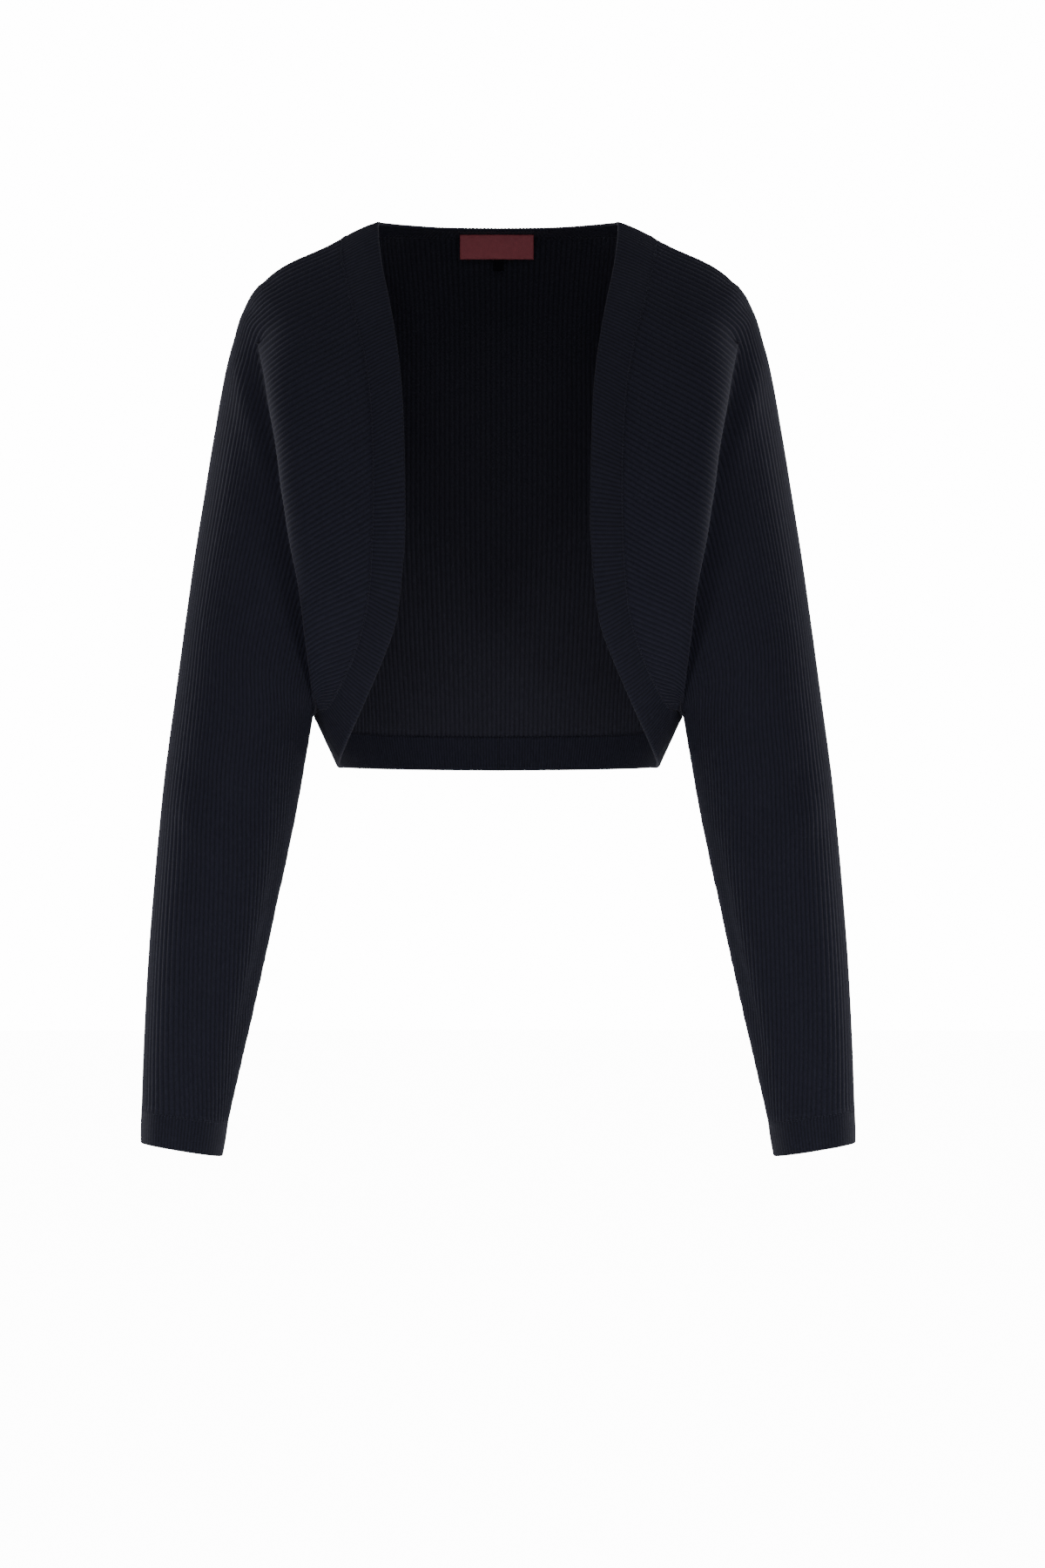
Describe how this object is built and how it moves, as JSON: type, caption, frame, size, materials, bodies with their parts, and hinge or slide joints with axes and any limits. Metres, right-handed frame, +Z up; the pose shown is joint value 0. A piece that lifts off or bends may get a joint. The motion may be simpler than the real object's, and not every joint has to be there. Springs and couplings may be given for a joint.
{
  "type": "knitted shrug",
  "caption": "Cropped open-front rib-knit shrug with long dolman sleeves, a narrow rib band round the opening and rib cuffs, hollow as when worn.",
  "frame": {"origin": "on the middle plane of the garment, level with the two neck points where it hangs on the shoulders, below the middle of the neck opening", "axes": "+Z up, the open front faces -Y, the wearer's left sleeve is at +X"},
  "size_m": [0.5154, 0.2029, 0.6782],
  "materials": {
    "rib_knit": "soft matt fine-gauge rib knit, very dark navy",
    "band_knit": "soft matt fine rib knit, very dark navy",
    "label_tape": "woven satin tape, dark red, bare",
    "tab_tape": "woven tape, black, bare"
  },
  "bodies": {
    "root": {"front_sleeve_left": "rib_knit", "front_sleeve_right": "rib_knit", "back": "rib_knit", "neck_front_band": "band_knit", "hem_band": "band_knit", "cuff_left": "band_knit", "cuff_right": "band_knit", "label": "label_tape", "size_tab": "tab_tape"}
  },
  "joints": []
}
